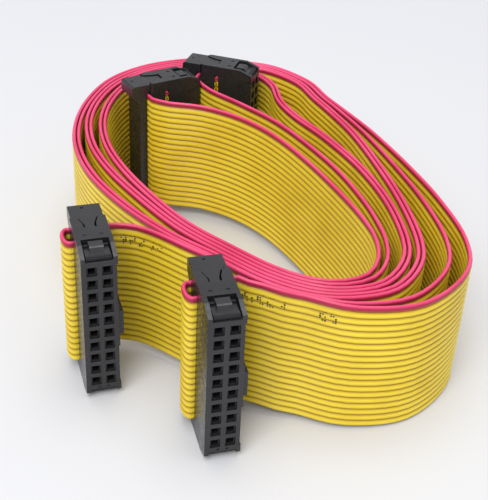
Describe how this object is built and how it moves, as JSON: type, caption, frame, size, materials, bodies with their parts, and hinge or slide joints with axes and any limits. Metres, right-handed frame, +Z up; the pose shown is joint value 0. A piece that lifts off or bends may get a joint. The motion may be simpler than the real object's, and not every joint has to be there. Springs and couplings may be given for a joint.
{
  "type": "coiled ribbon cable pair",
  "caption": "Pair of flat ribbon cables with a two-row socket at every end, wound together into a loose oval coil that stands on its edge.",
  "frame": {"origin": "middle of the outline at table height", "axes": "+Y from the two front sockets to the back of the coil, +X to the right as seen from the front, +Z up"},
  "size_m": [0.0732, 0.1076, 0.03],
  "materials": {
    "socket_plastic": "semi-gloss charcoal moulding",
    "cover_plastic": "semi-gloss charcoal moulding",
    "relief_plastic": "semi-gloss charcoal moulding",
    "contact": "gold flashed",
    "yellow_insulation": "satin PVC insulation, yellow",
    "pink_insulation": "satin PVC insulation, pink"
  },
  "bodies": {
    "coil": {"front_left_lead": "yellow_insulation", "front_left_lead_edge": "pink_insulation", "front_right_lead": "yellow_insulation", "front_right_lead_edge": "pink_insulation", "inner_left_lead": "yellow_insulation", "inner_left_lead_edge": "pink_insulation", "inner_left_housing": "socket_plastic", "inner_left_contacts": "contact", "inner_left_cover": "cover_plastic", "inner_left_fold": "yellow_insulation", "inner_left_fold_edge": "pink_insulation", "inner_right_lead": "yellow_insulation", "inner_right_lead_edge": "pink_insulation", "inner_right_housing": "socket_plastic", "inner_right_contacts": "contact", "inner_right_cover": "cover_plastic", "inner_right_fold": "yellow_insulation", "inner_right_fold_edge": "pink_insulation", "cable_1_ribbon": "yellow_insulation", "cable_1_edge": "pink_insulation", "cable_2_ribbon": "yellow_insulation", "cable_2_edge": "pink_insulation"},
    "front_left_clip": {"front_left_relief": "relief_plastic"},
    "front_left_socket": {"front_left_housing": "socket_plastic", "front_left_contacts": "contact", "front_left_cover": "cover_plastic", "front_left_fold": "yellow_insulation", "front_left_fold_edge": "pink_insulation"},
    "front_right_clip": {"front_right_relief": "relief_plastic"},
    "front_right_socket": {"front_right_housing": "socket_plastic", "front_right_contacts": "contact", "front_right_cover": "cover_plastic", "front_right_fold": "yellow_insulation", "front_right_fold_edge": "pink_insulation"},
    "inner_left_clip": {"inner_left_relief": "relief_plastic"},
    "inner_right_clip": {"inner_right_relief": "relief_plastic"}
  },
  "joints": [
    {"name": "front_left_swing", "type": "hinge", "parent": "coil", "child": "front_left_socket", "pos_m": [-0.02711, -0.02489, 0.015], "axis": [0, 0, 1], "range_deg": [-8, 8], "stiffness_Nm_per_rad": 0.01},
    {"name": "front_left_unclip", "type": "slide", "parent": "front_left_socket", "child": "front_left_clip", "axis": [-0.2419, 0.9703, 0], "range_m": [0, 0.0012]},
    {"name": "front_right_swing", "type": "hinge", "parent": "coil", "child": "front_right_socket", "pos_m": [-0.00647, -0.04041, 0.015], "axis": [0, 0, 1], "range_deg": [-8, 8], "stiffness_Nm_per_rad": 0.01},
    {"name": "front_right_unclip", "type": "slide", "parent": "front_right_socket", "child": "front_right_clip", "axis": [-0.2079, 0.9781, 0], "range_m": [0, 0.0012]},
    {"name": "inner_left_unclip", "type": "slide", "parent": "coil", "child": "inner_left_clip", "axis": [-0.8829, -0.4695, 0], "range_m": [0, 0.0012]},
    {"name": "inner_right_unclip", "type": "slide", "parent": "coil", "child": "inner_right_clip", "axis": [-0.9397, 0.342, 0], "range_m": [0, 0.0012]}
  ]
}
